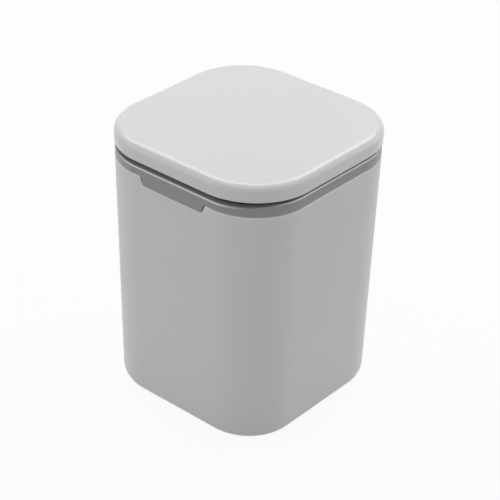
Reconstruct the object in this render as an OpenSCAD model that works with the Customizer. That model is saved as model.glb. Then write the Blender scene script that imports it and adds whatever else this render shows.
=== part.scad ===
// Push top countertop bin. Front of the bin faces -Y, the hinge is at the back, +Z is up.
// The origin is the middle of the base, on the table.

/* [Bin] */
// Width across the rim of the bin
bin_w = 132.2; // [110:0.2:170]
// Width across the base, measured where the drafted walls would meet the table
base_w = 125.4; // [104:0.2:164]
// Height of the rim above the table
bin_h = 158; // [120:1:240]
// Corner radius at the rim
corner_r = 36.4; // [30:0.2:42]
// Wall of the bin
bin_wall = 2.2; // [1.6:0.1:2.6]
// Floor of the bin
floor_t = 2.4; // [1.6:0.1:4]
// Radius along the bottom edge
base_round = 10; // [6:0.5:14]
// Height of the foot ring under the floor
foot_h = 1.2; // [0.6:0.1:2]
// Width of the foot ring
foot_w = 5; // [3:0.5:8]
// Chamfer along the rim
rim_chamfer = 0.8; // [0.4:0.1:0.9]

/* [Collar] */
// Height of the band above the rim of the bin
band_h = 6.6; // [6.6:0.1:9]
// How far the band stands back from the bin's wall
band_inset = 0.1; // [0.1:0.1:0.6]
// How far the band's top dips at the front
front_dip = 2.0; // [1:0.1:3.2]
// Length of the dip, from the front of the band
dip_reach = 20; // [20:1:50]
// Depth of the skirt inside the bin
skirt_h = 22; // [18:1:30]
// Thickness of the skirt
skirt_t = 1.6; // [1.2:0.1:2]
// Gap between the skirt and the bin's wall at the rim
skirt_gap = 0.4; // [0.2:0.1:0.6]
// How much more the skirt draws in towards its lower edge than the bin's wall does
skirt_taper = 0.2; // [0:0.1:0.6]
// Width of the groove under the band, between its outer wall and the skirt
groove_w = 1.0; // [0.6:0.1:1.2]
// Height of that groove
groove_h = 2.6; // [1:0.1:2.6]
// Width of the finger tab at the rim
tab_w = 48.8; // [40:0.2:56]
// How far the finger tab hangs below the rim
tab_drop = 5.4; // [4:0.1:8]
// How far the tab's sides lean inwards, in degrees
tab_lean = 24; // [0:1:35]
// Radius of the tab's lower corners
tab_r = 2; // [1:0.1:3]
// Gap between the tab's sides and its notch
tab_gap = 0.8; // [0.3:0.1:0.8]
// Gap below the tab
tab_rest = 0.3; // [0.1:0.1:0.6]

/* [Lid] */
// How far the lid overhangs the rim on each side
lid_overhang = 1.35; // [1:0.05:2.4]
// Corner radius of the lid
lid_corner_r = 39.9; // [34:0.1:46]
// Gap between the band and the lid
lid_gap = 2.3; // [1.5:0.1:2.4]
// Height of the lid
lid_h = 10.1; // [9.8:0.1:14]
// Radius along the lid's top edge
lid_round = 4.4; // [3.5:0.1:5.6]
// Wall of the lid's cover
lid_wall = 2; // [1.6:0.1:2]
// Chamfer along the lid's bottom edge
lid_chamfer = 0.5; // [0.3:0.1:0.8]
// Thickness of the lid's inner panel
panel_t = 1.6; // [1.2:0.1:2]
// How far the panel lies above the lid's bottom edge
panel_lift = 1.0; // [0.6:0.1:1.4]
// Gap between panel and cover
panel_gap = 0.2; // [0.1:0.05:0.4]
// Height of the ribs round the panel and round its hinge bay
rib_h = 3.6; // [2:0.1:3.8]
// Thickness of those ribs
rib_t = 1.4; // [1:0.1:1.6]
// Height of the panel's screw pads
pad_h = 2.8; // [2.4:0.1:3.4]
// Distance of the panel's screws from the middle, in both directions
panel_screw_at = 38; // [30:1:42]

/* [Hinge] */
// Diameter of the hinge pin
pin_d = 3; // [2.4:0.1:3.2]
// Radial running clearance on the pin
pin_gap = 0.05; // [0.03:0.01:0.08]
// Diameter of the hinge knuckles
knuckle_d = 6.4; // [5.6:0.1:6.8]
// Distance from the lid's back to the hinge axis
hinge_inset = 3.45; // [3.2:0.05:3.8]
// Inner half width between the collar's ears
ear_in = 18; // [17:0.5:22]
// Thickness of an ear
ear_t = 4; // [3:0.5:5]
// Width of a lid knuckle
knuckle_w = 4; // [3:0.5:5]
// Side clearance between neighbours on the pin
side_gap = 0.4; // [0.3:0.1:0.6]
// Reach of the shelf that carries the springs, inwards from the skirt
shelf_reach = 5.5; // [4:0.5:8]

/* [Torsion springs] */
// Wire of the torsion springs
spring_wire = 1.0; // [0.8:0.05:1]
// Radius of the coil's middle line
spring_r = 2.6; // [2.4:0.05:2.7]
// Pitch of the coil
spring_pitch = 1.7; // [1.5:0.05:1.8]
// Whole turns between the legs
spring_turns = 4; // [3:1:4]
// Length of the leg under the lid
lid_leg = 12; // [8:0.5:16]

/* [Latch] */
// Width of the latch housing
latch_w = 21; // [20.6:0.1:23]
// Depth of the latch housing, without its back cover
latch_d = 11.7; // [11.5:0.1:13]
// Height of the latch housing
latch_h = 24.8; // [24.6:0.1:28]
// Wall of the latch housing at its front and floor
latch_wall = 1.4; // [1:0.1:1.6]
// Thickness of the latch's back cover
latch_cover_t = 1.4; // [1:0.1:2]
// Gap between the skirt and the latch housing
latch_gap = 2.5; // [1.5:0.1:4]
// Thickness of the deck that carries the latch
deck_t = 2; // [1.6:0.1:2.4]
// Width of the plunger
plunger_w = 15.2; // [15:0.1:15.4]
// Depth of the plunger
plunger_d = 8.4; // [8.2:0.1:8.6]
// Clearance round the plunger
plunger_gap = 0.3; // [0.2:0.05:0.4]
// How far the plunger's top lies below the top of the housing while the lid is shut
plunger_sink = 7; // [6.8:0.1:7.6]
// How far the housing's screw lugs lie below its top
lug_drop = 11.8; // [11:0.1:12.6]
// Thickness of those lugs
lug_t = 1.8; // [1.4:0.1:2.4]
// Thickness of the striker's plate
striker_t = 2.4; // [2:0.1:2.6]
// Margin of that plate round the striker's neck
striker_margin = 1.5; // [1:0.1:2]
// Width of the striker's head
head_w = 6.8; // [6.6:0.1:7]
// Width of the striker's neck
neck_w = 3; // [2.6:0.1:3]
// Depth of the striker's head and neck
striker_d = 5; // [4:0.1:5.4]
// Thickness of a claw
claw_t = 4; // [3.4:0.1:4.2]
// Diameter of the claw pins
claw_pin_d = 1.6; // [1.2:0.1:1.8]
// Wire of the latch's compression spring
coil_wire = 0.6; // [0.5:0.05:0.6]
// Radius of that spring's middle line
coil_r = 2.0; // [1.9:0.05:2.05]
// Turns of that spring
coil_turns = 7; // [5:1:7]
// Wire of the cam follower
follower_d = 0.9; // [0.8:0.05:0.95]
// Depth of the heart-shaped groove
cam_depth = 1.0; // [0.9:0.1:1.2]

/* [Screws] */
// Shank diameter of all the screws
screw_d = 2.2; // [1.8:0.1:2.4]
// Head diameter
screw_head_d = 4.2; // [3.6:0.1:4.6]
// Head height
screw_head_h = 1.3; // [1:0.1:1.4]
// Length of the shank
screw_l = 4.4; // [4:0.1:5]
// Radial gap between a screw and its bore
screw_gap = 0.02; // [0.01:0.01:0.05]
// Outer diameter of the bosses that the screws go into
boss_d = 5.6; // [5:0.1:6]

/* [Hidden] */
$fn = 96;

pale = "#d9d9d9";
gloss = "#e2e2e2";
grey = "#8a8b8c";
light_grey = "#b9b9b8";
steel = "#b4b6b8";
acetal = "#efeee8";

// Corner centres of the bin and of the lid, from the middle
bin_c = bin_w/2 - corner_r;
lid_half = bin_w/2 + lid_overhang;
lid_c = lid_half - lid_corner_r;

// Heights
collar_top = bin_h + band_h;
lid_bottom = collar_top + lid_gap;
lid_top = lid_bottom + lid_h;
floor_top = foot_h + floor_t;

// Section of the bin, with u counted outwards from the corner centre
base_u = base_w/2 - bin_c;
draft = atan((corner_r - base_u)/bin_h);

// Section of the collar
band_u = corner_r - band_inset;
skirt_u = corner_r - bin_wall - skirt_gap;
throat_u = skirt_u - skirt_t;
skirt_lean = skirt_h*tan(draft) + skirt_taper;
throat = bin_c + throat_u;
band_half = bin_c + band_u;

// The dip in the band's top is part of a large cylinder, which meets the flat top at a slight angle
dip_lead = 5;
dip_y = -band_half + dip_reach + dip_lead;
dip_r = (pow(dip_reach + dip_lead, 2) - pow(dip_lead, 2))/(2*front_dip);
dip_z = collar_top - sqrt(pow(dip_r, 2) - pow(dip_lead, 2));

// Hinge
knuckle_r = knuckle_d/2;
hinge_y = lid_half - hinge_inset;
hinge_z = lid_top - lid_wall - knuckle_r - 0.3;
ear_out = ear_in + ear_t;
bay = ear_out + 3.5;
bay_y = hinge_y - knuckle_r - 3.3;
shelf_y = throat - shelf_reach;
pin_head_t = 1;
clip_t = 0.8;
pin_bore_d = pin_d + 2*pin_gap;
groove_r = pin_d/2 - 0.4;

// Lid panel
panel_z = lid_bottom + panel_lift;
panel_top = panel_z + panel_t;
panel_u = lid_corner_r - lid_wall - panel_gap;
cover_in_top = lid_top - lid_wall;
pad_r = screw_head_d/2 + rib_t + 0.6;

// Latch, placed from the skirt's inner face and from the deck
deck_top = collar_top - 3.1;
latch_z = deck_top - 0.2;
latch_y = -throat + latch_gap + latch_wall + plunger_gap + plunger_d/2;
latch_front = -throat + latch_gap;
latch_back = latch_front + latch_d;
latch_floor = latch_z - latch_h + latch_wall;
deck_back = latch_back + latch_cover_t + 2.6;
ear_screw_x = latch_w/2 + boss_d/2 + 0.3;
deck_half = ear_screw_x + boss_d/2 + 0.5 + skirt_t;
lug_z = latch_z - lug_drop;
striker_screw_x = latch_w/2 - 2;

// Heights in the latch, counted down from the top of its housing
plunger_top = latch_z - plunger_sink;
plunger_h = 13.8;
plunger_bottom = plunger_top - plunger_h;
head_bottom = plunger_top + 0.2;
head_h = 2.2;
head_top = head_bottom + head_h;
claw_z = plunger_top - 4.3;
claw_x = 5.6;
hook_z = head_top + 0.45;
hook_h = 1.75;
hook_x = neck_w/2 + 0.8;
claw_out = 7.4;
claw_arm_in = 5.2;
claw_boss_r = 1.7;
flare_z = latch_z - 6.5;
flare = 1.7;
tip_z = plunger_top - 6.8;
wire_y = latch_y + plunger_d/2 + 0.8;
wire_foot_z = latch_floor + 1.4;

// A solid of square plan with round corners: the section is swept round four corner centres
module square_sweep(c) {
    for (k = [0:3]) rotate([0, 0, 90*k]) {
        translate([c, c, 0]) rotate_extrude(angle = 90) children();
        translate([c, 0, 0]) rotate([90, 0, 0]) linear_extrude(2*c, center = true) children();
    }
}

// Block that fills the middle of a square sweep
module core(c, z0, z1) {
    translate([-c, -c, z0]) cube([2*c, 2*c, z1 - z0]);
}

// Section drawn in the YZ plane, drawn out along X
module along_x(x0, x1) {
    translate([x0, 0, 0]) rotate([90, 0, 90]) linear_extrude(x1 - x0) children();
}

// Section drawn in the XZ plane, drawn out along Y
module along_y(y0, y1) {
    translate([0, y1, 0]) rotate([90, 0, 0]) linear_extrude(y1 - y0) children();
}

// Region inside the drafted wall line, inset by w, from a rounded bottom edge at z0 up to z1
module drafted(w, z0, z1, r) {
    x = base_u + (z0 + r)*tan(draft) - (w + r)/cos(draft);
    translate([x, z0 + r]) circle(r);
    polygon([[0, z0], [x, z0], [x + r*cos(draft), z0 + r - r*sin(draft)],
        [base_u + z1*tan(draft) - w/cos(draft), z1], [0, z1]]);
}

module bin_section() {
    difference() {
        drafted(0, 0, bin_h, base_round);
        drafted(bin_wall, floor_top, bin_h + 1, base_round - bin_wall);
        translate([-1, -1]) square([base_u - base_round - foot_w + 1, foot_h + 1]);
        polygon([[corner_r - rim_chamfer, bin_h], [corner_r + 1, bin_h + 1],
            [corner_r + 1, bin_h - rim_chamfer - 1], [corner_r - 0.02, bin_h - rim_chamfer]]);
    }
}

// Outline of the finger tab, w wide at z = 0, with leaning sides that run on up past it
module tab_outline(w, drop, r, up) {
    low = w/2 - drop*tan(tab_lean);
    run = r*tan(45 - tab_lean/2);
    edge = [[w/2 + up*tan(tab_lean), up], [low + run*sin(tab_lean), run*cos(tab_lean) - drop],
        [low - run, r - drop], [low - run, -drop]];
    for (s = [-1, 1]) {
        polygon([for (p = concat([[0, up]], edge, [[0, -drop]])) [s*p.x, p.y]]);
        translate([s*(low - run), r - drop]) circle(r);
    }
}

module bin_body() color(pale) {
    difference() {
        union() {
            square_sweep(bin_c) bin_section();
            core(bin_c, foot_h, floor_top);
        }
        translate([0, 0, bin_h]) along_y(-bin_w/2 - 1, -bin_w/2 + bin_wall + 2)
            tab_outline(tab_w + 2*tab_gap/cos(tab_lean), tab_drop + tab_rest, tab_r + tab_gap, 1);
    }
}

// Band, groove and skirt of the collar
module collar_section() {
    c = 0.4;
    difference() {
        polygon([[throat_u, bin_h], [band_u, bin_h], [band_u, collar_top - c], [band_u - c, collar_top],
            [throat_u + c, collar_top], [throat_u, collar_top - c]]);
        translate([skirt_u, bin_h - 1]) square([groove_w, groove_h + 1]);
    }
    polygon([[throat_u, bin_h + 1], [skirt_u, bin_h + 1], [skirt_u, bin_h], [skirt_u - skirt_lean, bin_h - skirt_h],
        [throat_u - skirt_lean, bin_h - skirt_h], [throat_u, bin_h]]);
}

// What the dip takes off the front of the band
module dip_cutter() {
    along_x(-band_half - 1, band_half + 1) difference() {
        translate([-band_half - 1, collar_top - front_dip - 0.5])
            square([dip_reach + 1, front_dip + 1.5]);
        translate([dip_y, dip_z]) circle(dip_r, $fn = 360);
    }
}

module rim_collar() color(grey) {
    tab_back = -bin_w/2 + bin_wall;
    difference() {
        union() {
            difference() {
                square_sweep(bin_c) collar_section();
                dip_cutter();
            }
            finger_tab(-band_half, tab_back);
            latch_deck();
            spring_shelf();
            for (s = [-1, 1]) hinge_ear(s);
        }
        latch_mouth();
        along_x(-ear_out - 1, ear_out + 1) translate([hinge_y, hinge_z]) circle(pin_bore_d/2);
    }
}

module finger_tab(y0, y1) {
    translate([0, 0, bin_h]) along_y(y0, y1) tab_outline(tab_w, tab_drop, tab_r, 1);
}

// Deck inside the front of the collar, with cheeks, gussets and two screw bosses under it
module latch_deck() {
    root = -throat - skirt_t/2;
    difference() {
        union() {
            translate([-deck_half, root, deck_top - deck_t]) cube([2*deck_half, deck_back - root, deck_t]);
            for (s = [-1, 1]) along_x(s*(deck_half - skirt_t/2) - skirt_t/2, s*(deck_half - skirt_t/2) + skirt_t/2)
                polygon([[root, deck_top - deck_t], [deck_back, deck_top - deck_t], [deck_back, deck_top - deck_t - 2],
                    [root, bin_h - skirt_h + 6]]);
        }
        for (s = [-1, 1]) translate([s*deck_half, deck_back, 0]) rotate([0, 0, s > 0 ? 180 : 270]) corner_cut(3);
    }
    for (s = [-1, 1]) translate([s*ear_screw_x, latch_y, 0]) difference() {
        translate([0, 0, lug_z]) cylinder(d = boss_d, h = deck_top - deck_t/2 - lug_z);
        translate([0, 0, lug_z - 1]) cylinder(d = screw_d + 2*screw_gap, h = screw_l + 3);
    }
}

// Rounds an upright corner of radius r: the corner is at the origin and the solid in the +X, +Y quarter
module corner_cut(r) {
    difference() {
        translate([-1, -1, 0]) cube([r + 1, r + 1, 2*bin_h]);
        translate([r, r, -1]) cylinder(r = r, h = 2*bin_h + 2);
    }
}

module latch_mouth() {
    gap = 0.3;
    translate([-latch_w/2 - gap, latch_front - gap, deck_top - deck_t - 1])
        cube([latch_w + 2*gap, latch_d + latch_cover_t + 2*gap, deck_t + 2]);
}

// Shelf between the hinge ears, on which the springs' fixed legs bear
module spring_shelf() {
    along_x(-ear_out, ear_out) polygon([[shelf_y, collar_top - 2], [shelf_y, collar_top],
        [throat + 1, collar_top], [throat + 1, collar_top - 6.5], [throat + 0.4, collar_top - 6.5]]);
}

module hinge_ear(s) {
    x = s*(ear_in + ear_t/2);
    along_x(x - ear_t/2, x + ear_t/2) {
        translate([hinge_y, hinge_z]) circle(knuckle_r);
        polygon([[hinge_y - knuckle_r, hinge_z], [hinge_y - knuckle_r - 1, collar_top - 1],
            [band_half - 0.4, collar_top - 1], [band_half - 0.4, collar_top + 0.5], [hinge_y + knuckle_r, hinge_z]]);
    }
}

// Outer section of the lid, from its bottom edge to its flat top
module lid_section(w, z0) {
    u = lid_corner_r - w;
    r = lid_round - w;
    z1 = lid_top - w;
    translate([u - r, z1 - r]) circle(r);
    translate([0, z0]) square([u, z1 - r - z0]);
    translate([0, z0]) square([u - r, z1 - z0]);
}

module lid_cover() color(gloss) {
    difference() {
        union() {
            square_sweep(lid_c) difference() {
                lid_section(0, lid_bottom);
                lid_section(lid_wall, lid_bottom - 1);
                polygon([[lid_corner_r - lid_chamfer, lid_bottom - 1], [lid_corner_r - lid_chamfer, lid_bottom],
                    [lid_corner_r, lid_bottom + lid_chamfer], [lid_corner_r + 1, lid_bottom - 1]]);
            }
            core(lid_c, cover_in_top, lid_top);
            at_panel_screws() translate([0, 0, panel_z + pad_h]) cylinder(d = boss_d, h = lid_top - 1 - panel_z - pad_h);
        }
        at_panel_screws() translate([0, 0, panel_z]) cylinder(d = screw_d + 2*screw_gap, h = cover_in_top - panel_z - 0.4);
        hinge_bay(bay, lid_bottom - 1, cover_in_top, bay_y);
    }
}

// Room for the hinge in the back of the lid
module hinge_bay(half, z0, z1, y0) {
    translate([-half, y0, z0]) cube([2*half, lid_half + 1 - y0, z1 - z0]);
}

module at_panel_screws() {
    for (x = [-1, 1], y = [-1, 1]) translate([x*panel_screw_at, y*panel_screw_at, 0]) children();
}

module at_striker_screws() {
    for (s = [-1, 1]) translate([s*striker_screw_x, latch_y, 0]) children();
}

module lid_panel() color(light_grey) {
    difference() {
        union() {
            square_sweep(lid_c) {
                translate([0, panel_z]) square([panel_u, panel_t]);
                translate([panel_u - rib_t, panel_z]) square([rib_t, rib_h]);
            }
            core(lid_c, panel_z, panel_top);
            at_panel_screws() translate([0, 0, panel_z]) cylinder(r = pad_r, h = pad_h);
            at_striker_screws() translate([0, 0, panel_z]) cylinder(d = boss_d, h = screw_l + 1);
            // rib round the hinge bay
            translate([-bay - rib_t, bay_y - rib_t, panel_z])
                cube([2*(bay + rib_t), lid_c + panel_u - bay_y + rib_t/2, rib_h]);
        }
        hinge_bay(bay, panel_z - 1, lid_top, bay_y);
        at_panel_screws() {
            translate([0, 0, panel_z - 1]) cylinder(d = screw_head_d + 0.4, h = screw_head_h + 1.1);
            translate([0, 0, panel_z - 1]) cylinder(d = screw_d + 0.3, h = pad_h + 2);
        }
        at_striker_screws() translate([0, 0, panel_z - 1]) cylinder(d = screw_d + 2*screw_gap, h = screw_l + 1.6);
    }
    for (s = [-1, 1]) lid_knuckle(s);
}

module lid_knuckle(s) {
    x = s*(ear_in - side_gap - knuckle_w/2);
    along_x(x - knuckle_w/2, x + knuckle_w/2) difference() {
        union() {
            translate([hinge_y, hinge_z]) circle(knuckle_r);
            polygon([[bay_y - rib_t, panel_z], [hinge_y - 1.2, panel_z], [hinge_y + 0.6, hinge_z - knuckle_r + 0.2],
                [hinge_y - 0.6, hinge_z + knuckle_r - 0.2], [bay_y - rib_t, panel_z + rib_h]]);
        }
        translate([hinge_y, hinge_z]) circle(pin_bore_d/2);
    }
}

// A screw with a crossed recess, head down, its head resting against z = 0 and its shank going up
module screw() {
    difference() {
        union() {
            rotate_extrude() polygon([[0, -screw_head_h], [screw_head_d/2 - 0.5, -screw_head_h],
                [screw_head_d/2, 0.5 - screw_head_h], [screw_head_d/2, 0], [0, 0]]);
            translate([0, 0, -0.1]) cylinder(d = screw_d, h = screw_l + 0.1);
        }
        for (a = [0, 90]) rotate([0, 0, a]) translate([-screw_head_d/3, -0.3, -screw_head_h - 1])
            cube([2*screw_head_d/3, 0.6, 1.6]);
    }
}

module panel_screws() color(steel) at_panel_screws() translate([0, 0, panel_z + screw_head_h + 0.1]) screw();

// Base plate, neck and T-shaped head under the lid's front
module striker() color(acetal) {
    z = panel_z - striker_t;
    difference() {
        union() {
            translate([-striker_screw_x, latch_y - striker_d/2 - striker_margin, z])
                cube([2*striker_screw_x, striker_d + 2*striker_margin, striker_t]);
            at_striker_screws() translate([0, 0, z]) cylinder(d = striker_d + 2*striker_margin, h = striker_t);
        }
        at_striker_screws() {
            translate([0, 0, z - 1]) cylinder(d = screw_head_d + 0.4, h = screw_head_h + 1.1);
            translate([0, 0, z - 1]) cylinder(d = screw_d + 0.3, h = striker_t + 2);
        }
    }
    along_y(latch_y - striker_d/2, latch_y + striker_d/2) polygon([
        [-neck_w/2 - 2, z + 0.1], [-neck_w/2, z - 2], [-neck_w/2, head_top], [-head_w/2, head_top],
        [-head_w/2, head_bottom + 1], [-head_w/2 + 1, head_bottom], [head_w/2 - 1, head_bottom],
        [head_w/2, head_bottom + 1], [head_w/2, head_top], [neck_w/2, head_top], [neck_w/2, z - 2],
        [neck_w/2 + 2, z + 0.1]]);
}

module striker_screws() color(steel)
    at_striker_screws() translate([0, 0, panel_z - striker_t + screw_head_h + 0.1]) screw();

// Headed pin with a groove for the snap ring
module hinge_pin() color(steel) {
    r = pin_d/2;
    head_r = knuckle_r - 0.8;
    x0 = -ear_out - side_gap/2;
    x1 = ear_out + side_gap/2;
    x2 = x1 + clip_t + 0.1;
    translate([0, hinge_y, hinge_z]) rotate([0, 90, 0]) rotate_extrude() polygon([[0, x0 - pin_head_t],
        [head_r - 0.4, x0 - pin_head_t], [head_r, x0 - pin_head_t + 0.4], [head_r, x0], [r, x0], [r, x1],
        [groove_r, x1], [groove_r, x2], [r, x2], [r, x2 + 0.5], [r - 0.4, x2 + 0.9], [0, x2 + 0.9]]);
}

// Snap ring, open towards the table
module pin_clip() color(steel) {
    x = ear_out + side_gap/2 + 0.05;
    along_x(x, x + clip_t) translate([hinge_y, hinge_z]) difference() {
        circle(knuckle_r - 0.4);
        circle(groove_r + 0.03);
        translate([-groove_r*0.8, -knuckle_r]) square([groove_r*1.6, knuckle_r]);
        for (a = [-20, 90, 200]) rotate(a) translate([groove_r + 0.5, -0.6]) square([0.5, 1.2]);
    }
}

// Tube of six sides along points p: n holds a unit vector for each point, square to the path
function unit(v) = v/norm(v);
function step(p, i) = unit(p[min(i + 1, len(p) - 1)] - p[max(i - 1, 0)]);
function least(v, i = 0, m = 1e9) = i == len(v) ? m : least(v, i + 1, min(m, v[i]));
module tube(p, n, r) {
    sides = 6;
    pts = [for (i = [0:len(p) - 1]) let (b = cross(step(p, i), n[i]))
        for (k = [0:sides - 1]) p[i] + r*(cos(360*k/sides)*n[i] + sin(360*k/sides)*b)];
    m = len(p);
    faces = concat(
        [for (i = [0:m - 2], k = [0:sides - 1]) [i*sides + k, (i + 1)*sides + k, i*sides + (k + 1)%sides]],
        [for (i = [0:m - 2], k = [0:sides - 1])
            [i*sides + (k + 1)%sides, (i + 1)*sides + k, (i + 1)*sides + (k + 1)%sides]],
        [for (k = [1:sides - 2]) [0, k, k + 1]],
        [for (k = [1:sides - 2]) [(m - 1)*sides, (m - 1)*sides + k + 1, (m - 1)*sides + k]]);
    polyhedron(pts, faces);
}

// Torsion spring round the hinge axis: a straight leg up from the shelf, the coil, and a leg under the lid
curl_rings = 8;
foot = [shelf_y + 2, collar_top + spring_wire/2 + 0.1] - [hinge_y, hinge_z];
foot_angle = atan2(foot.y, foot.x) + acos(spring_r/norm(foot)) + 360;
coil_angle = 90 + 360*(spring_turns + 1) - foot_angle;
coil_rings = ceil(coil_angle/360*curl_rings);
spring_x0 = 2.2;
spring_angles = [for (i = [0:coil_rings]) foot_angle + coil_angle*i/coil_rings];
spring_path = concat(
    [[spring_x0, hinge_y + foot.x, hinge_z + foot.y]],
    [for (i = [0:coil_rings]) let (a = spring_angles[i])
        [spring_x0 + spring_pitch*(a - foot_angle)/360, hinge_y + spring_r*cos(a), hinge_z + spring_r*sin(a)]],
    [[spring_x0 + spring_pitch*coil_angle/360, hinge_y - lid_leg, hinge_z + spring_r]]);
spring_out = concat([[0, cos(foot_angle), sin(foot_angle)]], [for (a = spring_angles) [0, cos(a), sin(a)]],
    [[0, 0, 1]]);
// Least gap between neighbouring turns, measured between points one turn apart
spring_gap = least([for (i = [0:coil_rings], j = [0:coil_rings])
    if (j - i >= curl_rings/2) norm(spring_path[i + 1] - spring_path[j + 1])]) - spring_wire;
echo(torsion_spring_least_gap = spring_gap);

module torsion_spring_right() color(steel) tube(spring_path, spring_out, spring_wire/2);
module torsion_spring_left() color(steel) mirror([1, 0, 0]) tube(spring_path, spring_out, spring_wire/2);

// Inside of the latch housing: the plunger's shaft, open at the back, with a flared mouth
module latch_shaft() {
    half = plunger_w/2 + plunger_gap;
    top = latch_z + 1;
    along_y(latch_y - plunger_d/2 - plunger_gap, latch_back + 1) polygon([
        [-half, latch_floor], [half, latch_floor], [half, flare_z], [half + flare, latch_z], [half + flare, top],
        [-half - flare, top], [-half - flare, latch_z], [-half, flare_z]]);
}

module latch_housing() color(light_grey) {
    difference() {
        union() {
            translate([-latch_w/2, latch_front, latch_z - latch_h]) cube([latch_w, latch_d, latch_h]);
            for (s = [-1, 1]) {
                translate([s*ear_screw_x, latch_y, lug_z - lug_t]) cylinder(d = boss_d, h = lug_t - 0.02);
                translate([s > 0 ? latch_w/2 - 1 : -ear_screw_x, latch_y - boss_d/2, lug_z - lug_t])
                    cube([ear_screw_x - latch_w/2 + 1, boss_d, lug_t - 0.02]);
            }
        }
        latch_shaft();
        for (s = [-1, 1]) translate([s*ear_screw_x, latch_y, lug_z - lug_t - 1]) cylinder(d = screw_d + 0.3, h = lug_t + 2);
    }
    translate([0, latch_y, latch_floor - 0.5]) cylinder(r = coil_r - coil_wire/2 - 0.4, h = 2);
}

module latch_cover() color(light_grey) {
    pad = plunger_w/2 - 4;
    difference() {
        union() {
            translate([-latch_w/2, latch_back, latch_z - latch_h]) cube([latch_w, latch_cover_t, latch_h]);
            for (s = [-1, 1]) translate([s > 0 ? 4 : -4 - pad, latch_y + plunger_d/2 + plunger_gap, latch_floor + 0.1])
                cube([pad, latch_back + 0.5 - latch_y - plunger_d/2 - plunger_gap, latch_h - latch_wall - 8]);
        }
        along_y(latch_y, latch_back + latch_cover_t/2) translate([0, wire_foot_z]) circle(d = follower_d + 0.1);
    }
}

module latch_screws() color(steel)
    for (s = [-1, 1]) translate([s*ear_screw_x, latch_y, lug_z - lug_t]) screw();

// Heart seen from behind, and the track round it
module heart() {
    for (s = [-1, 1]) polygon([[0, -0.76], [s*0.9, 0.14], [s*1.3, 0.1], [s*1.55, -0.5], [s*1.35, -1.5], [0, -3.8]]);
}
module track() {
    hull() {
        for (s = [-1, 1]) translate([s*1.6, 0.3]) circle(1.3, $fn = 32);
        translate([0, -5.6]) circle(1, $fn = 32);
    }
    hull() for (z = [0, 2.2]) translate([0, z]) circle(1.2, $fn = 32);
}

module latch_plunger() color(acetal) {
    back = latch_y + plunger_d/2;
    half = plunger_w/2;
    slot = claw_t + 0.6;
    post = claw_x - claw_boss_r - 0.3;
    difference() {
        translate([-half, latch_y - plunger_d/2, plunger_bottom]) cube([plunger_w, plunger_d, plunger_h]);
        // slots for the claws, and the cheeks beside them cut lower than the striker's seat
        for (s = [-1, 1]) scale([s, 1, 1]) {
            translate([post, latch_y - slot/2, claw_z - claw_boss_r - 1.3]) cube([half, slot, plunger_h]);
            translate([post, latch_y - plunger_d/2 - 1, claw_z + 2.2]) cube([half, plunger_d + 2, plunger_h]);
        }
        for (s = [-1, 1]) along_y(latch_y - plunger_d, latch_y + plunger_d)
            translate([s*claw_x, claw_z]) circle(d = claw_pin_d + 0.04);
        translate([0, latch_y, plunger_bottom - 1]) cylinder(r = coil_r + coil_wire/2 + 0.3, h = 7);
        translate([0, 0, tip_z]) along_y(back - cam_depth, back + 1) difference() {
            track();
            heart();
        }
    }
}

// Jaw on the +X side: boss, arm and a hook with a slanted lead-in
module claw() {
    difference() {
        along_y(latch_y - claw_t/2, latch_y + claw_t/2) {
            translate([claw_x, claw_z]) circle(claw_boss_r);
            polygon([[claw_arm_in, claw_z], [claw_x + claw_boss_r - 0.1, claw_z], [claw_out, claw_z + 2],
                [claw_out, hook_z + hook_h], [claw_out - 1.2, hook_z + hook_h], [hook_x, hook_z + 0.5],
                [hook_x, hook_z], [claw_arm_in, hook_z]]);
        }
        along_y(latch_y - claw_t, latch_y + claw_t) translate([claw_x, claw_z]) circle(claw_pin_d/2 + 0.04);
    }
}
module claw_right() color(acetal) claw();
module claw_left() color(acetal) mirror([1, 0, 0]) claw();

module claw_pins() color(steel) for (s = [-1, 1])
    along_y(latch_y - plunger_d/2 + 0.1, latch_y + plunger_d/2 - 0.1) translate([s*claw_x, claw_z]) circle(d = claw_pin_d);

// Compression spring between the housing's floor and the bottom of the plunger's bore
coil_z0 = latch_floor + coil_wire/2 + 0.05;
coil_z1 = plunger_bottom + 6 - coil_wire/2 - 0.05;
coil_n = coil_turns*curl_rings;
coil_path = [for (i = [0:coil_n]) let (a = 360*i/curl_rings)
    [coil_r*cos(a), latch_y + coil_r*sin(a), coil_z0 + (coil_z1 - coil_z0)*i/coil_n]];
coil_out = [for (i = [0:coil_n]) let (a = 360*i/curl_rings) [cos(a), sin(a), 0]];
coil_gap = (coil_z1 - coil_z0)/coil_turns - coil_wire;
echo(latch_spring_least_gap = coil_gap);
module latch_spring() color(steel) tube(coil_path, coil_out, coil_wire/2);

// Bent wire: hooked into the back cover below, its upper end in the notch of the heart
module cam_follower() color(steel) {
    r = follower_d/2;
    translate([0, wire_y, wire_foot_z]) cylinder(r = r, h = tip_z - wire_foot_z);
    for (z = [wire_foot_z, tip_z]) translate([0, wire_y, z]) sphere(r, $fn = 32);
    along_y(latch_y + plunger_d/2 - cam_depth + 0.2, wire_y) translate([0, tip_z]) circle(r);
    along_y(wire_y, latch_back + latch_cover_t/2 - 0.1) translate([0, wire_foot_z]) circle(r);
}

bin_body();
rim_collar();
lid_cover();
lid_panel();
panel_screws();
striker();
striker_screws();
hinge_pin();
pin_clip();
torsion_spring_left();
torsion_spring_right();
latch_housing();
latch_cover();
latch_screws();
latch_plunger();
claw_left();
claw_right();
claw_pins();
latch_spring();
cam_follower();
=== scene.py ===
import bpy, bmesh, math
from mathutils import Vector, Matrix


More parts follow.
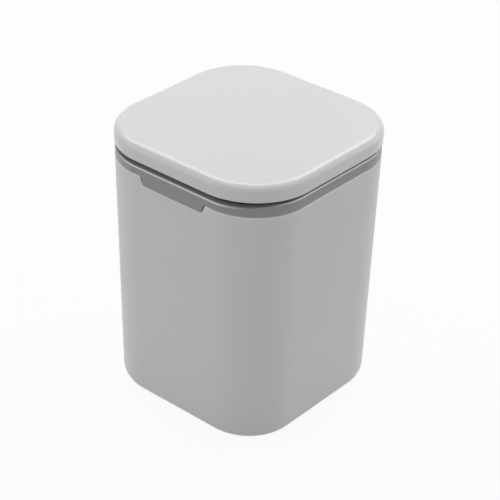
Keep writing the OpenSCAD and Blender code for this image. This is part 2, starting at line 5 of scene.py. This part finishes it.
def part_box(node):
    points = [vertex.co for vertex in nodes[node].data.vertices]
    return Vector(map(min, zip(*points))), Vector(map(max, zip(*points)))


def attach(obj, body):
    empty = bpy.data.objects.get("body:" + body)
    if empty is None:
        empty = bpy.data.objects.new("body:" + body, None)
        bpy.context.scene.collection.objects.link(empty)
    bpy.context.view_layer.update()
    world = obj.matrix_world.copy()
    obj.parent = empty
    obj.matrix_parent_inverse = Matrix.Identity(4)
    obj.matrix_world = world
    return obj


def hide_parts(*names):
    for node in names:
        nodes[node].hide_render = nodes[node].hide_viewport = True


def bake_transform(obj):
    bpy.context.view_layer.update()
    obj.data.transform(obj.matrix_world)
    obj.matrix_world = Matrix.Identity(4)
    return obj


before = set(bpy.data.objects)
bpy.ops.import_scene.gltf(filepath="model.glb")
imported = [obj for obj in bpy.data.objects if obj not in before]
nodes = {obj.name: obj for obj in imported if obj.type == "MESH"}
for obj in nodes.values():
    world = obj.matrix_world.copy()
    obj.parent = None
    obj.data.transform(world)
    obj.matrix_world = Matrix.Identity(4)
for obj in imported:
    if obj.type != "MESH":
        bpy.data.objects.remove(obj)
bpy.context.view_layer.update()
scene = bpy.context.scene
print("frame loaded,", len(nodes), "nodes")

# camera: the photograph's view, found by fitting the outlines of lid, collar and tub
photoCamera = {
    "picture": 500,            # width and height of the photograph in pixels
    "focalPixels": 1720.6,     # focal length in the same pixels
    "targetPixel": (246.17, 250.29),
    "target": (0, 0, 0.0889),  # metres
    "distance": 1.0461,        # metres from the target
    "azimuth": 40.30, "elevation": 31.50, "roll": 1.49,   # degrees
    "sensorMm": 36, "nearest": 0.05, "farthest": 30,
}

def makeCamera(c):
    data = bpy.data.cameras.new("photoCamera")
    cam = bpy.data.objects.new("photoCamera", data)
    scene.collection.objects.link(cam)
    scene.camera = cam
    az, el, roll = (math.radians(c[k]) for k in ("azimuth", "elevation", "roll"))
    back = Vector((math.sin(az) * math.cos(el), -math.cos(az) * math.cos(el), math.sin(el)))
    right = Vector((math.cos(az), math.sin(az), 0))
    up = back.cross(right)
    across = math.cos(roll) * right + math.sin(roll) * up
    above = back.cross(across)
    turn = Matrix((across, above, back)).transposed().to_4x4()
    cam.matrix_world = Matrix.Translation(Vector(c["target"]) + back * c["distance"]) @ turn
    data.sensor_width = c["sensorMm"]
    data.lens = c["focalPixels"] / c["picture"] * c["sensorMm"]
    data.shift_x = (c["picture"] / 2 - c["targetPixel"][0]) / c["picture"]
    data.shift_y = (c["targetPixel"][1] - c["picture"] / 2) / c["picture"]
    data.clip_start, data.clip_end = c["nearest"], c["farthest"]

makeCamera(photoCamera)
print("camera placed")

def linear(code):  # hex sRGB to linear rgba
    rgb = [int(code[i:i + 2], 16) / 255 for i in (1, 3, 5)]
    return [c / 12.92 if c <= 0.04045 else ((c + 0.055) / 1.055) ** 2.4 for c in rgb] + [1]

def addNode(tree, kind, settings=None, links=None):
    node = tree.nodes.new(kind)
    for key, value in (settings or {}).items():
        if isinstance(key, int) or key in node.inputs:
            node.inputs[key].default_value = value
        else:
            setattr(node, key, value)
    for key, source in (links or {}).items():
        tree.links.new(source, node.inputs[key])
    return node

def emptyMaterial(name):
    mat = bpy.data.materials.new(name)
    mat.use_nodes = True
    mat.node_tree.nodes.clear()
    return mat, mat.node_tree

# injection-moulded plastic: faint tone drift, uneven sheen, and the mould's surface as bump
def mouldedPlastic(name, look):
    mat, tree = emptyMaterial(name)
    place = addNode(tree, "ShaderNodeTexCoord").outputs["Object"]
    drift = addNode(tree, "ShaderNodeTexNoise",
                    {"Scale": 1000 / look["driftMm"], "Detail": 2.0, "Roughness": 0.5}, {"Vector": place})
    tone = addNode(tree, "ShaderNodeMix",
                   {"data_type": "RGBA", 6: linear(look["darkTone"]), 7: linear(look["paleTone"])},
                   {"Factor": drift.outputs["Fac"]})
    patch = addNode(tree, "ShaderNodeTexNoise",
                    {"Scale": 1000 / look["sheenMm"], "Detail": 4.0, "Roughness": 0.6}, {"Vector": place})
    shiny, dull = look["roughness"]
    sheen = addNode(tree, "ShaderNodeMapRange",
                    {"From Min": 0.3, "From Max": 0.7, "To Min": shiny, "To Max": dull},
                    {"Value": patch.outputs["Fac"]})
    grain = addNode(tree, "ShaderNodeTexNoise",
                    {"Scale": 1000 / look["grainMm"], "Detail": 3.0, "Roughness": 0.65}, {"Vector": place})
    wave = addNode(tree, "ShaderNodeTexNoise",
                   {"Scale": 1000 / look["waveMm"], "Detail": 1.0}, {"Vector": place})
    fine = addNode(tree, "ShaderNodeBump", {"Strength": 1.0, "Distance": look["grainDepth"]},
                   {"Height": grain.outputs["Fac"]})
    broad = addNode(tree, "ShaderNodeBump", {"Strength": 1.0, "Distance": look["waveDepth"]},
                    {"Height": wave.outputs["Fac"], "Normal": fine.outputs["Normal"]})
    shader = addNode(tree, "ShaderNodeBsdfPrincipled",
                     {"IOR": look["ior"], "Metallic": 0.0,
                      "Subsurface Weight": look.get("translucency", 0.0), "Subsurface Scale": 0.001},
                     {"Base Color": tone.outputs[2], "Roughness": sheen.outputs["Result"],
                      "Normal": broad.outputs["Normal"]})
    addNode(tree, "ShaderNodeOutputMaterial", {}, {"Surface": shader.outputs["BSDF"]})
    return mat

# how far out a point lies from the corners' centres: its level lines are squares with round corners
def cornerDistance(tree, mirrored, centre):
    past = addNode(tree, "ShaderNodeVectorMath", {"operation": "SUBTRACT", 1: (centre, centre, 0)},
                   {0: mirrored})
    beyond = addNode(tree, "ShaderNodeVectorMath", {"operation": "MAXIMUM", 1: (0, 0, 0)},
                     {0: past.outputs[0]})
    flat = addNode(tree, "ShaderNodeVectorMath", {"operation": "MULTIPLY", 1: (1, 1, 0)},
                   {0: beyond.outputs[0]})
    length = addNode(tree, "ShaderNodeVectorMath", {"operation": "LENGTH"}, {0: flat.outputs[0]})
    return length.outputs["Value"]

# height of a point, with the depth of the front's dip added back, so that the dipped edge counts as level
def heightOverDip(tree, axes, dip):
    curve = dip["depth"] / ((dip["reach"] + dip["lead"]) ** 2 - dip["lead"] ** 2)
    into = addNode(tree, "ShaderNodeMath", {"operation": "MULTIPLY_ADD", 1: -1.0, 2: -dip["from"]},
                   {0: axes.outputs["Y"]})
    within = addNode(tree, "ShaderNodeMath", {"operation": "MAXIMUM", 1: 0.0}, {0: into.outputs[0]})
    led = addNode(tree, "ShaderNodeMath", {"operation": "ADD", 1: dip["lead"]}, {0: within.outputs[0]})
    square = addNode(tree, "ShaderNodeMath", {"operation": "POWER", 1: 2.0}, {0: led.outputs[0]})
    depth = addNode(tree, "ShaderNodeMath",
                    {"operation": "MULTIPLY_ADD", 1: curve, 2: -curve * dip["lead"] ** 2},
                    {0: square.outputs[0]})
    height = addNode(tree, "ShaderNodeMath", {"operation": "ADD"},
                     {0: axes.outputs["Z"], 1: depth.outputs[0]})
    return height.outputs[0]

# painted highlight: a pale line painted along a moulding's outer top edge, on a square ring with round
# corners
def paintHighlightLine(mat, paintedLine):
    tree = mat.node_tree
    soft = 0.0001  # metres over which the painted highlight line ends
    place = addNode(tree, "ShaderNodeTexCoord").outputs["Object"]
    axes = addNode(tree, "ShaderNodeSeparateXYZ", {}, {"Vector": place})
    mirrored = addNode(tree, "ShaderNodeVectorMath", {"operation": "ABSOLUTE"}, {0: place}).outputs[0]
    out = cornerDistance(tree, mirrored, paintedLine["cornerCentre"])
    height = heightOverDip(tree, axes, paintedLine["dip"]) if "dip" in paintedLine else axes.outputs["Z"]
    outward = {"From Min": paintedLine["outer"] - paintedLine["width"] - soft, "From Max": paintedLine["outer"] - paintedLine["width"]}
    upward = {"From Min": paintedLine["top"] - paintedLine["width"] - soft, "From Max": paintedLine["top"] - paintedLine["width"]}
    higher = {"From Min": paintedLine["top"] + 3 * soft, "From Max": paintedLine["top"] + 2 * soft}  # ears above get no painted highlight
    limits = [(out, outward), (height, upward), (height, higher)]
    if "straight" in paintedLine:
        around = addNode(tree, "ShaderNodeSeparateXYZ", {}, {"Vector": mirrored})
        nearest = addNode(tree, "ShaderNodeMath", {"operation": "MINIMUM"},
                          {0: around.outputs["X"], 1: around.outputs["Y"]})
        limits.append((nearest.outputs[0], {"From Min": paintedLine["straight"][1], "From Max": paintedLine["straight"][0]}))
    share = None
    for value, limit in limits:
        part = addNode(tree, "ShaderNodeMapRange", limit, {"Value": value}).outputs["Result"]
        if share is not None:
            part = addNode(tree, "ShaderNodeMath", {"operation": "MULTIPLY"}, {0: share, 1: part}).outputs[0]
        share = part
    shader = next(node for node in tree.nodes if node.type == "BSDF_PRINCIPLED")
    unpainted = shader.inputs["Base Color"].links[0].from_socket
    # mix the painted highlight's pale tone into the base colour
    tone = addNode(tree, "ShaderNodeMix", {"data_type": "RGBA", 7: linear(paintedLine["tone"])},
                   {"Factor": share, 6: unpainted})
    tree.links.new(tone.outputs[2], shader.inputs["Base Color"])

# plated steel wire and screws: fine drawing lines along X and small stains in the sheen
def drawnSteel(name, look):
    mat, tree = emptyMaterial(name)
    place = addNode(tree, "ShaderNodeTexCoord").outputs["Object"]
    stretch = addNode(tree, "ShaderNodeMapping", {"Scale": (1 / look["lineStretch"], 1, 1)},
                      {"Vector": place})
    lines = addNode(tree, "ShaderNodeTexNoise", {"Scale": 1000 / look["lineMm"], "Detail": 2.0},
                    {"Vector": stretch.outputs["Vector"]})
    stain = addNode(tree, "ShaderNodeTexNoise", {"Scale": 1000 / look["stainMm"], "Detail": 3.0},
                    {"Vector": place})
    tone = addNode(tree, "ShaderNodeMix",
                   {"data_type": "RGBA", 6: linear(look["darkTone"]), 7: linear(look["paleTone"])},
                   {"Factor": stain.outputs["Fac"]})
    sheen = addNode(tree, "ShaderNodeMapRange",
                    {"To Min": look["roughness"][0], "To Max": look["roughness"][1]},
                    {"Value": stain.outputs["Fac"]})
    groove = addNode(tree, "ShaderNodeBump", {"Strength": 1.0, "Distance": look["lineDepth"]},
                     {"Height": lines.outputs["Fac"]})
    shader = addNode(tree, "ShaderNodeBsdfPrincipled", {"Metallic": 1.0},
                     {"Base Color": tone.outputs[2], "Roughness": sheen.outputs["Result"],
                      "Normal": groove.outputs["Normal"]})
    addNode(tree, "ShaderNodeOutputMaterial", {}, {"Surface": shader.outputs["BSDF"]})
    return mat

# ABS moulded in a spark-eroded mould: a satin skin that spreads the studio lights to a soft glow, with its
# 0.05 mm grit drawn coarser
satinAbs = mouldedPlastic("satin moulded ABS", {
    "darkTone": "#D9D9DC", "paleTone": "#DCDCDF", "driftMm": 60, "sheenMm": 25, "roughness": (0.40, 0.48),
    "grainMm": 0.7, "grainDepth": 0.00001, "waveMm": 45, "waveDepth": 0.00004, "ior": 1.5})
# the same ABS from a polished mould: clear, soft-edged highlights, with the faint waves of a thick moulding
glossAbs = mouldedPlastic("gloss moulded ABS", {
    "darkTone": "#DBDBDE", "paleTone": "#DDDDE0", "driftMm": 80, "sheenMm": 30, "roughness": (0.16, 0.20),
    "grainMm": 3.0, "grainDepth": 0.000001, "waveMm": 45, "waveDepth": 0.00001, "ior": 1.53})
# polypropylene with a matt texture: no clear highlight; its top edge gets a painted highlight line below
mattPolypropylene = mouldedPlastic("matt moulded polypropylene", {
    "darkTone": "#949497", "paleTone": "#98989B", "driftMm": 40, "sheenMm": 15, "roughness": (0.30, 0.36),
    "grainMm": 0.6, "grainDepth": 0.000012, "waveMm": 35, "waveDepth": 0.00002, "ior": 1.49})
# painted highlight: the band's top edge, which dips at the front, is painted pale and bright along its
# straight sides, standing in for the highlight it catches there
cornerCentre = 0.0297  # of the round corners of tub and band, in x and y
bandHeight = 0.0066    # from the tub's rim to the band's top edge
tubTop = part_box("bin_body")[1]
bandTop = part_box("rim_collar")[1]
bandDip = {"depth": 0.002, "reach": 0.020, "lead": 0.005}
bandDip["from"] = bandTop.x - bandDip["reach"]
bandHighlightLine = {"cornerCentre": cornerCentre, "outer": bandTop.x - cornerCentre, "top": tubTop.z + bandHeight,
           "dip": bandDip, "width": 0.0007, "straight": (0.034, 0.050), "tone": "#F4F4F6"}
paintHighlightLine(mattPolypropylene, bandHighlightLine)
# painted highlight too on the tub's rim: a pale line all the way round, standing in for the light its rounded
# edge catches
rimHighlightLine = {"cornerCentre": cornerCentre, "outer": tubTop.x - cornerCentre, "top": tubTop.z,
          "width": 0.0012, "tone": "#F0F0F2"}
paintHighlightLine(satinAbs, rimHighlightLine)
# the lid's inner panel: the pale ABS of the cover, from a plain mould
paleAbs = mouldedPlastic("pale plain ABS", {
    "darkTone": "#D2D2D4", "paleTone": "#D8D8DA", "driftMm": 30, "sheenMm": 12, "roughness": (0.36, 0.48),
    "grainMm": 1.0, "grainDepth": 0.000008, "waveMm": 20, "waveDepth": 0.00003, "ior": 1.5})
# inner mouldings, as they leave the tool: light grey with a dull even sheen
innerAbs = mouldedPlastic("plain moulded ABS", {
    "darkTone": "#BCBCBD", "paleTone": "#C2C2C3", "driftMm": 30, "sheenMm": 12, "roughness": (0.38, 0.52),
    "grainMm": 1.0, "grainDepth": 0.000008, "waveMm": 20, "waveDepth": 0.00003, "ior": 1.5})
# acetal: milky, waxy and slightly see-through at its edges
naturalAcetal = mouldedPlastic("natural acetal", {
    "darkTone": "#E6E4DC", "paleTone": "#EEECE5", "driftMm": 10, "sheenMm": 6, "roughness": (0.28, 0.38),
    "grainMm": 0.8, "grainDepth": 0.000004, "waveMm": 8, "waveDepth": 0.00001, "ior": 1.48,
    "translucency": 0.15})
# zinc-plated steel: bright but not mirror-like
platedSteel = drawnSteel("zinc-plated steel", {
    "darkTone": "#A9ABAE", "paleTone": "#C6C8CA", "stainMm": 3, "roughness": (0.22, 0.36),
    "lineMm": 0.4, "lineStretch": 20, "lineDepth": 0.000006})
print("materials made")

finishes = {
    satinAbs: ["bin_body"],
    glossAbs: ["lid_cover"],
    mattPolypropylene: ["rim_collar"],
    paleAbs: ["lid_panel"],
    innerAbs: ["latch_housing", "latch_cover"],
    naturalAcetal: ["striker", "latch_plunger", "claw_left", "claw_right"],
    platedSteel: ["panel_screws", "striker_screws", "latch_screws", "hinge_pin", "pin_clip", "claw_pins",
                  "torsion_spring_left", "torsion_spring_right", "latch_spring", "cam_follower"],
}
for finish, names in finishes.items():
    for name in names:
        mesh = nodes[name].data
        mesh.materials.clear()
        mesh.materials.append(finish)
print("finishes given to the nodes")

# every moulded edge is a small radius in the real object; here they are in metres
edgeRadius = {
    "bin_body": 0.0003, "rim_collar": 0.0004, "lid_cover": 0.0003, "lid_panel": 0.00025,
    "latch_housing": 0.00025, "latch_cover": 0.0002, "striker": 0.0002, "latch_plunger": 0.0002,
    "claw_left": 0.00015, "claw_right": 0.00015,
}
edgeRounding = {"joinWithin": 0.000002, "segments": 3, "sharpDegrees": 32}

def roundEdges(name, radius, e):
    node = nodes[name]
    weld = node.modifiers.new("joined corners", "WELD")
    weld.merge_threshold = e["joinWithin"]
    bevel = node.modifiers.new("edge radius", "BEVEL")
    bevel.width = radius
    bevel.segments = e["segments"]
    bevel.limit_method = "ANGLE"
    bevel.angle_limit = math.radians(e["sharpDegrees"])
    bevel.harden_normals = True

for name, radius in edgeRadius.items():
    roundEdges(name, radius, edgeRounding)
print("edges rounded")

# wires: a ring of points is drawn along straight runs and wound round axes; the ends are cut square, and
# their rims are rounded by a share of the wire's diameter
wireForm = {"sides": 14, "stepDegrees": 15, "endRound": 0.12, "creaseDegrees": 50}

def startWire(at, along, wire):
    bm = bmesh.new()
    turn = Vector((0, 0, 1)).rotation_difference(Vector(along)).to_matrix().to_4x4()
    bmesh.ops.create_circle(bm, cap_ends=False, radius=wire / 2, segments=wireForm["sides"],
                            matrix=Matrix.Translation(at) @ turn)
    return bm, bm.edges[:]

def drawWire(bm, ring, by):
    made = bmesh.ops.extrude_edge_only(bm, edges=ring)["geom"]
    corners = {item for item in made if isinstance(item, bmesh.types.BMVert)}
    bmesh.ops.translate(bm, vec=by, verts=list(corners))
    return [item for item in made if isinstance(item, bmesh.types.BMEdge) and set(item.verts) <= corners]

def windWire(bm, ring, centre, axis, degrees, rise=0.0):  # rise: metres along the axis over the whole run
    steps = max(3, round(abs(degrees) / wireForm["stepDegrees"]))
    corners = list({corner for edge in ring for corner in edge.verts})
    last = bmesh.ops.spin(bm, geom=corners + ring, cent=centre, axis=axis, dvec=Vector(axis) * (rise / steps),
                          angle=math.radians(degrees), steps=steps,
                          use_merge=False, use_duplicate=False)["geom_last"]
    return [item for item in last if isinstance(item, bmesh.types.BMEdge)]

def finishWire(bm, name, wire, finish):
    openEdges = [edge for edge in bm.edges if edge.is_boundary]
    ends = bmesh.ops.holes_fill(bm, edges=openEdges, sides=0)["faces"]
    rims = list({edge for face in ends for edge in face.edges})
    bmesh.ops.bevel(bm, geom=rims, offset=wire * wireForm["endRound"], segments=2, profile=0.5,
                    affect="EDGES", material=-1)
    bmesh.ops.recalc_face_normals(bm, faces=bm.faces)
    for face in bm.faces:
        face.smooth = True
    mesh = bpy.data.meshes.new(name)
    bm.to_mesh(mesh)
    bm.free()
    mesh.set_sharp_from_angle(angle=math.radians(wireForm["creaseDegrees"]))
    mesh.materials.append(finish)
    piece = bpy.data.objects.new(name, mesh)
    scene.collection.objects.link(piece)
    return piece

# torsion springs: a leg up from the collar's shelf, about four and a half turns round the hinge pin, and a
# leg along the lid's underside; the foot's place is measured from the pin's axis
torsionSpring = {"wire": 0.001, "pitch": 0.0017, "turns": 4, "startX": 0.0022,
                 "footY": -0.0056, "footZ": -0.0063}

def makeTorsionSpring(t, side):
    pinLow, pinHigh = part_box("hinge_pin")
    solidLow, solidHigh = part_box("torsion_spring_right")
    axisY, axisZ = (pinLow.y + pinHigh.y) / 2, (pinLow.z + pinHigh.z) / 2
    radius = solidHigh.y - axisY - t["wire"] / 2
    start = math.atan2(t["footZ"], t["footY"]) + math.acos(radius / math.hypot(t["footY"], t["footZ"]))
    sweep = 90 + 360 * t["turns"] - math.degrees(start)
    coilLength = t["pitch"] * sweep / 360
    foot = Vector((t["startX"], axisY + t["footY"], axisZ + t["footZ"]))
    touch = Vector((t["startX"], axisY + radius * math.cos(start), axisZ + radius * math.sin(start)))
    bm, ring = startWire(foot, touch - foot, t["wire"])
    ring = drawWire(bm, ring, touch - foot)
    ring = windWire(bm, ring, (0, axisY, axisZ), (1, 0, 0), sweep, coilLength)
    drawWire(bm, ring, (0, solidLow.y - axisY, 0))
    if side < 0:
        bmesh.ops.scale(bm, vec=(-1, 1, 1), verts=bm.verts)
    name = "torsionSpringRight" if side > 0 else "torsionSpringLeft"
    piece = finishWire(bm, name, t["wire"], platedSteel)
    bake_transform(piece)
    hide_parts("torsion_spring_right" if side > 0 else "torsion_spring_left")

for side in (-1, 1):
    makeTorsionSpring(torsionSpring, side)

# latch spring: five open turns between two closed ones; the solid's wire has flat sides, which lie a little
# nearer to its middle than the round wire's skin
latchSpring = {"wire": 0.0006, "flatSide": 0.00024, "openTurns": 5, "closedRise": 0.00062}

def makeLatchSpring(t):
    low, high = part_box("latch_spring")
    axisY = (low.y + high.y) / 2
    bottom, top = low.z + t["flatSide"], high.z - t["flatSide"]
    bm, ring = startWire((high.x - t["wire"] / 2, axisY, bottom), (0, 1, 0), t["wire"])
    openRise = top - bottom - 2 * t["closedRise"]
    for turns, rise in ((1, t["closedRise"]), (t["openTurns"], openRise), (1, t["closedRise"])):
        ring = windWire(bm, ring, (0, axisY, 0), (0, 0, 1), 360 * turns, rise)
    piece = finishWire(bm, "latchSpring", t["wire"], platedSteel)
    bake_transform(piece)
    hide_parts("latch_spring")

makeLatchSpring(latchSpring)

# cam wire: hooked into the back cover below, its upper end bent into the plunger's heart-shaped groove
camWire = {"bend": 0.0006, "standBeforeFoot": 0.0014}

def makeCamWire(t):
    low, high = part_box("cam_follower")
    wire, r = high.x - low.x, t["bend"]
    tipZ, footZ = high.z - wire / 2, low.z + wire / 2
    standY = high.y - t["standBeforeFoot"]
    bm, ring = startWire((0, low.y, tipZ), (0, 1, 0), wire)
    ring = drawWire(bm, ring, (0, standY - r - low.y, 0))
    ring = windWire(bm, ring, (0, standY - r, tipZ - r), (1, 0, 0), -90)
    ring = drawWire(bm, ring, (0, 0, footZ - tipZ + 2 * r))
    ring = windWire(bm, ring, (0, standY + r, footZ + r), (1, 0, 0), 90)
    drawWire(bm, ring, (0, t["standBeforeFoot"] - r, 0))
    piece = finishWire(bm, "camWire", wire, platedSteel)
    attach(piece, "collar")
    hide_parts("cam_follower")

makeCamWire(camWire)
print("springs and cam wire made")

# studio: floor, sky and lamps, in metres and watts
studioFloor = {"size": 12.0, "below": 0.0001, "bounce": "#DCDCDC", "shadowShare": 0.06, "white": 0.925}
studioSky = {"fill": 0.43, "white": 0.985}
lampAim = (0, 0, 0.12)
studioLamps = {
    "backLeftSoftbox": {"at": (-0.744, 0.347, 1.113), "size": (0.84, 0.55), "watts": 3.3},
    "backRightSoftbox": {"at": (-0.218, 0.873, 1.038), "size": (0.74, 0.52), "watts": 2.9},
    "overhead": {"at": (0.0, 0.0, 1.35), "size": (1.4, 1.4), "watts": 4.1},
    "leftPanel": {"at": (-0.83, -0.88, 0.42), "size": (0.8, 0.7), "watts": 1.36},
    "rightPanel": {"at": (0.60, 1.06, 0.42), "size": (0.8, 0.7), "watts": 1.8},
}

# 1 for what the camera sees, also by reflection or through glass, 0 for light on the object
def seenDirectly(tree):
    path = addNode(tree, "ShaderNodeLightPath")
    seen = path.outputs["Is Camera Ray"]
    for way in ("Is Glossy Ray", "Is Transmission Ray"):
        either = addNode(tree, "ShaderNodeMath", {"operation": "MAXIMUM"}, {0: seen, 1: path.outputs[way]})
        seen = either.outputs[0]
    return seen

def makeFloor(f):
    bm = bmesh.new()
    bmesh.ops.create_grid(bm, x_segments=2, y_segments=2, size=f["size"] / 2,
                          matrix=Matrix.Translation((0, 0, -f["below"])))
    mesh = bpy.data.meshes.new("studioFloor")
    bm.to_mesh(mesh)
    bm.free()
    floor = bpy.data.objects.new("studioFloor", mesh)
    scene.collection.objects.link(floor)
    mat, tree = emptyMaterial("white sweep")
    real = addNode(tree, "ShaderNodeBsdfDiffuse", {"Color": linear(f["bounce"])})
    shaded = addNode(tree, "ShaderNodeBsdfDiffuse", {"Color": [f["shadowShare"]] * 3 + [1]})
    glow = addNode(tree, "ShaderNodeEmission", {"Color": (1, 1, 1, 1), "Strength": f["white"]})
    white = addNode(tree, "ShaderNodeAddShader", {}, {0: shaded.outputs[0], 1: glow.outputs[0]})
    mix = addNode(tree, "ShaderNodeMixShader", {},
                  {0: seenDirectly(tree), 1: real.outputs[0], 2: white.outputs[0]})
    addNode(tree, "ShaderNodeOutputMaterial", {}, {"Surface": mix.outputs[0]})
    mesh.materials.append(mat)

def makeSky(s):
    world = bpy.data.worlds.new("studioSky")
    scene.world = world
    world.use_nodes = True
    tree = world.node_tree
    tree.nodes.clear()
    fill = addNode(tree, "ShaderNodeBackground", {"Color": (1, 1, 1, 1), "Strength": s["fill"]})
    white = addNode(tree, "ShaderNodeBackground", {"Color": (1, 1, 1, 1), "Strength": s["white"]})
    mix = addNode(tree, "ShaderNodeMixShader", {},
                  {0: seenDirectly(tree), 1: fill.outputs[0], 2: white.outputs[0]})
    addNode(tree, "ShaderNodeOutputWorld", {}, {"Surface": mix.outputs[0]})

def hangLamp(name, lamp):
    data = bpy.data.lights.new(name, "AREA")
    data.shape = "RECTANGLE"
    data.size, data.size_y = lamp["size"]
    data.energy = lamp["watts"]
    obj = bpy.data.objects.new(name, data)
    scene.collection.objects.link(obj)
    at = Vector(lamp["at"])
    obj.location = at
    obj.rotation_euler = (at - Vector(lampAim)).to_track_quat("Z", "Y").to_euler()

makeFloor(studioFloor)
makeSky(studioSky)
for name, lamp in studioLamps.items():
    hangLamp(name, lamp)
scene.view_settings.view_transform = "Standard"
print("studio lit")
